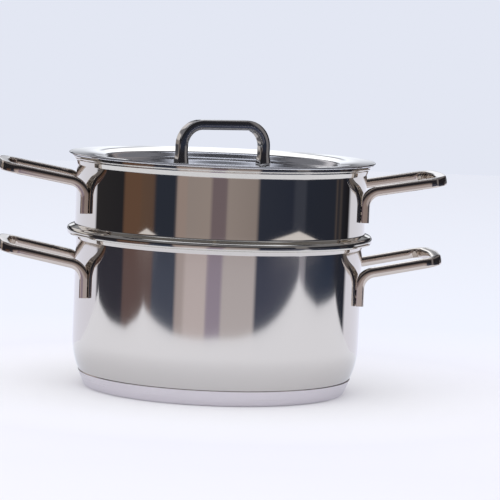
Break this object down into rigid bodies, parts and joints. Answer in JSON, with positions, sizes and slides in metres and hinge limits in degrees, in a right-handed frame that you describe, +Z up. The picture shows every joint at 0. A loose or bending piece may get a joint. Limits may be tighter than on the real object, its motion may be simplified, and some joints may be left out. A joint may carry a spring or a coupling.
{
  "type": "steamer pot",
  "caption": "Round steel stockpot with a steamer insert stacked on its rim, looped side handles and a sunk lid with a bridge handle, for boiling and steaming food.",
  "frame": {"origin": "centre of the base's underside", "axes": "+Z up along the pot's axis, +X along the line through the side handles, -Y towards the viewer"},
  "size_m": [0.3778, 0.258, 0.2271],
  "materials": {
    "pot_steel": "mirror-polished stainless steel",
    "steamer_steel": "mirror-polished stainless steel",
    "lid_steel": "mirror-polished stainless steel",
    "handle_steel": "polished cast stainless steel",
    "bridge_steel": "polished cast stainless steel",
    "base_steel": "satin stainless steel",
    "core_aluminium": "plain",
    "weld_steel": "plain"
  },
  "bodies": {
    "pot": {"pot_shell": "pot_steel", "base_core": "core_aluminium", "base_cap": "base_steel", "pot_handle_left": "handle_steel", "pot_handle_right": "handle_steel", "pot_handle_welds": "weld_steel"},
    "steamer": {"steamer_shell": "steamer_steel", "steamer_floor": "steamer_steel", "steamer_handle_left": "handle_steel", "steamer_handle_right": "handle_steel", "steamer_handle_welds": "weld_steel"},
    "lid": {"lid_shell": "lid_steel", "lid_handle": "bridge_steel", "lid_handle_welds": "weld_steel"}
  },
  "joints": [
    {"name": "steamer_lift", "type": "slide", "parent": "pot", "child": "steamer", "axis": [0, 0, 1], "range_m": [0, 0.15]},
    {"name": "lid_lift", "type": "slide", "parent": "steamer", "child": "lid", "axis": [0, 0, 1], "range_m": [0, 0.15]}
  ]
}
